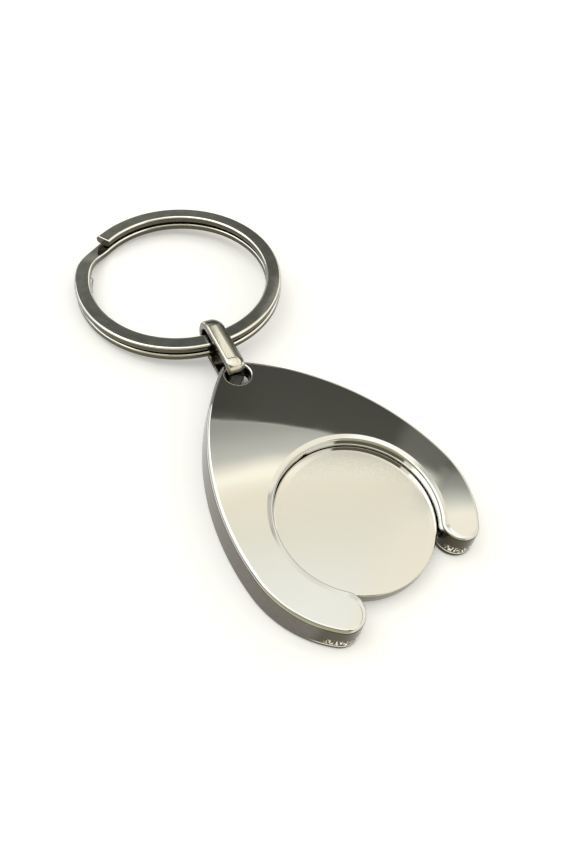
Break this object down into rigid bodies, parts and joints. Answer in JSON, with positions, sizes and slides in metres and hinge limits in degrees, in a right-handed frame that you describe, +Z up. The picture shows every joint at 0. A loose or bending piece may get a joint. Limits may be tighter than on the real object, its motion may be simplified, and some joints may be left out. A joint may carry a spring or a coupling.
{
  "type": "coin holder keyring",
  "caption": "Polished die-cast horseshoe holder that keeps a trolley token behind a magnet, with a strap link and a split key ring.",
  "frame": {"origin": "on the underside plane, in the axis of the coin recess", "axes": "+Y from the coin recess to the key hole in the tip, +Z up out of the recess, +X to the right seen from above"},
  "size_m": [0.0409, 0.0831, 0.0069],
  "materials": {
    "chromed_zinc": "mirror polished and chrome plated",
    "nickel_plated_magnet": "nickel plated sintered magnet",
    "mirror_token": "mirror polished plated steel, both faces blank",
    "nickel_plated_strap": "bright nickel plated",
    "satin_steel_wire": "satin nickel plated spring steel"
  },
  "bodies": {
    "holder": {"holder_body": "chromed_zinc", "retaining_magnet": "nickel_plated_magnet"},
    "coin": {"coin_token": "mirror_token"},
    "link": {"connector_link": "nickel_plated_strap"},
    "ring": {"split_ring": "satin_steel_wire"}
  },
  "joints": [
    {"name": "coin_lift", "type": "slide", "parent": "holder", "child": "coin", "axis": [0, 0, 1], "range_m": [0, 0.008]},
    {"name": "link_swing", "type": "hinge", "parent": "holder", "child": "link", "pos_m": [0.00054, 0.03124, 0.0037], "axis": [0.9781, -0.2079, 0], "range_deg": [-75, 90]},
    {"name": "ring_swing", "type": "hinge", "parent": "link", "child": "ring", "pos_m": [0.00171, 0.03676, 0.00346], "axis": [0.9781, -0.2079, 0], "range_deg": [-75, 75]}
  ]
}
